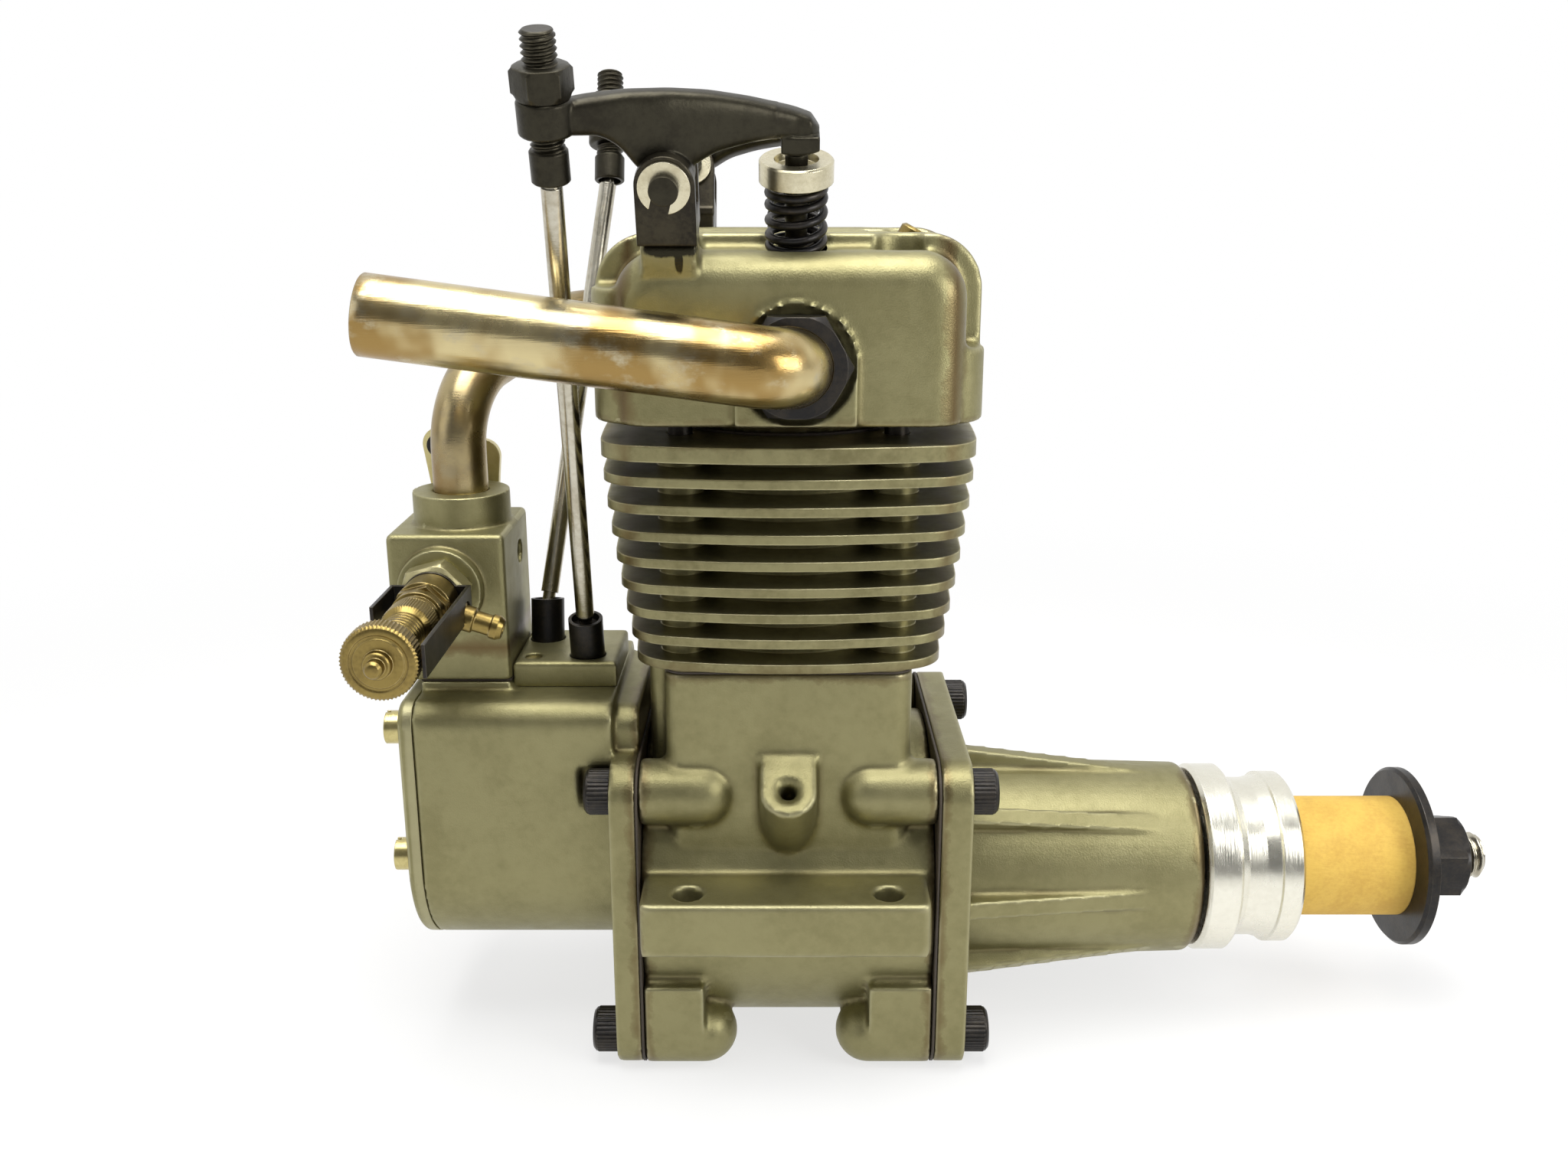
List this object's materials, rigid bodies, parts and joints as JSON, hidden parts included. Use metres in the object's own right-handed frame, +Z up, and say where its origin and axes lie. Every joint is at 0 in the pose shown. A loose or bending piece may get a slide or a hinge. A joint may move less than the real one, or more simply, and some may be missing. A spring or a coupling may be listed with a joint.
{
  "type": "four-stroke model aircraft engine",
  "caption": "Single-cylinder four-stroke glow engine with open rockers on a finned cylinder, rear carburettor, side exhaust pipe, beam lugs and a propeller shaft.",
  "frame": {"origin": "where the crankshaft's axis crosses the cylinder's axis, which is also the middle of the four beam-mount holes in the plane of the lugs' undersides", "axes": "+X along the crankshaft towards the propeller, +Z up the cylinder, +Y to the intake pipe's side, away from the exhaust"},
  "size_m": [0.1389, 0.0691, 0.1196],
  "materials": {
    "cast_alloy": "sandblasted casting",
    "machined_alloy": "machined",
    "black_steel": "black oxide",
    "bright_steel": "ground and polished",
    "rocker_steel": "hardened, oil darkened",
    "brass": "turned",
    "heat_tinted_brass": "heat tinted by exhaust gas",
    "gold_plate": "passivated sheet",
    "kraft_tube": "bare wound kraft board",
    "gasket": "oil soaked gasket"
  },
  "bodies": {
    "engine": {"crankcase": "cast_alloy", "case_gaskets": "gasket", "case_screws": "black_steel", "nose_housing": "cast_alloy", "shaft_bearings": "bright_steel", "cam_housing": "cast_alloy", "rear_bush": "brass", "cam_cover": "cast_alloy", "small_screws": "bright_steel", "tappet_block": "machined_alloy", "cylinder": "cast_alloy", "cylinder_liner": "bright_steel", "cylinder_gaskets": "gasket", "head_bolts": "black_steel", "cylinder_head": "cast_alloy", "glow_plug": "brass", "exhaust_pipe": "heat_tinted_brass", "intake_pipe": "heat_tinted_brass", "pipe_nuts": "black_steel", "carb_gasket": "gasket", "carb_body": "cast_alloy", "needle_body": "brass", "fuel_nipple": "brass", "needle_clamp": "machined_alloy", "needle_ratchet": "black_steel", "valve_guides": "brass", "rocker_brackets": "black_steel", "rocker_pins": "bright_steel", "rocker_clips": "bright_steel", "exhaust_valve_spring": "black_steel", "intake_valve_spring": "black_steel"},
    "crank": {"crankshaft": "bright_steel", "drive_shaft": "bright_steel", "prop_driver": "machined_alloy", "spacer_tube": "kraft_tube", "prop_washer": "black_steel", "prop_nut": "black_steel"},
    "cam": {"camshaft": "bright_steel", "cam_gear": "bright_steel"},
    "piston_group": {"piston": "machined_alloy", "piston_ring": "bright_steel", "wrist_pin": "bright_steel"},
    "rod": {"connecting_rod": "machined_alloy", "crankpin": "bright_steel"},
    "throttle": {"throttle_barrel": "machined_alloy", "throttle_arm": "gold_plate", "throttle_link": "black_steel"},
    "needle": {"needle_valve": "brass"},
    "exhaust_rocker_arm": {"exhaust_rocker": "rocker_steel", "exhaust_adjuster": "rocker_steel"},
    "exhaust_valve_group": {"exhaust_valve": "bright_steel", "exhaust_spring_retainer": "machined_alloy"},
    "exhaust_push_rod": {"exhaust_pushrod": "bright_steel"},
    "exhaust_cam_follower": {"exhaust_tappet": "black_steel"},
    "intake_rocker_arm": {"intake_rocker": "rocker_steel", "intake_adjuster": "rocker_steel"},
    "intake_valve_group": {"intake_valve": "bright_steel", "intake_spring_retainer": "machined_alloy"},
    "intake_push_rod": {"intake_pushrod": "bright_steel"},
    "intake_cam_follower": {"intake_tappet": "black_steel"}
  },
  "joints": [
    {"name": "crank_spin", "type": "hinge", "parent": "engine", "child": "crank", "pos_m": [0, 0, 0], "axis": [1, 0, 0], "continuous": true},
    {"name": "cam_spin", "type": "hinge", "parent": "engine", "child": "cam", "pos_m": [0, 0, 0.0135], "axis": [1, 0, 0], "continuous": true},
    {"name": "piston_slide", "type": "slide", "parent": "engine", "child": "piston_group", "axis": [0, 0, 1], "range_m": [-0.0196, 0]},
    {"name": "rod_swing", "type": "hinge", "parent": "piston_group", "child": "rod", "pos_m": [0, 0, 0.0458], "axis": [1, 0, 0], "range_deg": [-15.8, 15.8]},
    {"name": "throttle_turn", "type": "hinge", "parent": "engine", "child": "throttle", "pos_m": [-0.0412, 0, 0.0389], "axis": [0, 1, 0], "range_deg": [-75, 0]},
    {"name": "needle_turn", "type": "hinge", "parent": "engine", "child": "needle", "pos_m": [-0.0412, -0.03, 0.0389], "axis": [0, 1, 0], "continuous": true},
    {"name": "exhaust_rocker_swing", "type": "hinge", "parent": "engine", "child": "exhaust_rocker_arm", "pos_m": [-0.0124, -0.02102, 0.0861], "axis": [0, 0.9397, 0.342], "range_deg": [0, 10.3], "stiffness_Nm_per_rad": 0.05, "springref_deg": -8.59},
    {"name": "exhaust_valve_lift", "type": "slide", "parent": "engine", "child": "exhaust_valve_group", "axis": [0, 0.342, -0.9397], "range_m": [0, 0.00245], "deforming": ["exhaust_valve_spring"]},
    {"name": "exhaust_pushrod_lift", "type": "slide", "parent": "engine", "child": "exhaust_push_rod", "axis": [0.0227, -0.3602, 0.9326], "range_m": [0, 0.00205]},
    {"name": "exhaust_tappet_lift", "type": "slide", "parent": "engine", "child": "exhaust_cam_follower", "axis": [0, -0.2096, 0.9778], "range_m": [0, 0.00205]},
    {"name": "intake_rocker_swing", "type": "hinge", "parent": "engine", "child": "intake_rocker_arm", "pos_m": [-0.0124, 0.02102, 0.0861], "axis": [0, 0.9397, -0.342], "range_deg": [0, 10.3], "stiffness_Nm_per_rad": 0.05, "springref_deg": -8.59},
    {"name": "intake_valve_lift", "type": "slide", "parent": "engine", "child": "intake_valve_group", "axis": [0, -0.342, -0.9397], "range_m": [0, 0.00245], "deforming": ["intake_valve_spring"]},
    {"name": "intake_pushrod_lift", "type": "slide", "parent": "engine", "child": "intake_push_rod", "axis": [0.1265, 0.3574, 0.9254], "range_m": [0, 0.00205]},
    {"name": "intake_tappet_lift", "type": "slide", "parent": "engine", "child": "intake_cam_follower", "axis": [0, 0.2096, 0.9778], "range_m": [0, 0.00205]}
  ],
  "couplings": [
    {"joint": "cam_spin", "follows": "crank_spin", "ratio": -0.5},
    {"joint": "exhaust_valve_lift", "follows": "exhaust_rocker_swing", "m_per_rad": 0.0135},
    {"joint": "exhaust_pushrod_lift", "follows": "exhaust_rocker_swing", "m_per_rad": 0.0112},
    {"joint": "exhaust_tappet_lift", "follows": "exhaust_rocker_swing", "m_per_rad": 0.011},
    {"joint": "intake_valve_lift", "follows": "intake_rocker_swing", "m_per_rad": 0.0135},
    {"joint": "intake_pushrod_lift", "follows": "intake_rocker_swing", "m_per_rad": 0.0112},
    {"joint": "intake_tappet_lift", "follows": "intake_rocker_swing", "m_per_rad": 0.011}
  ]
}
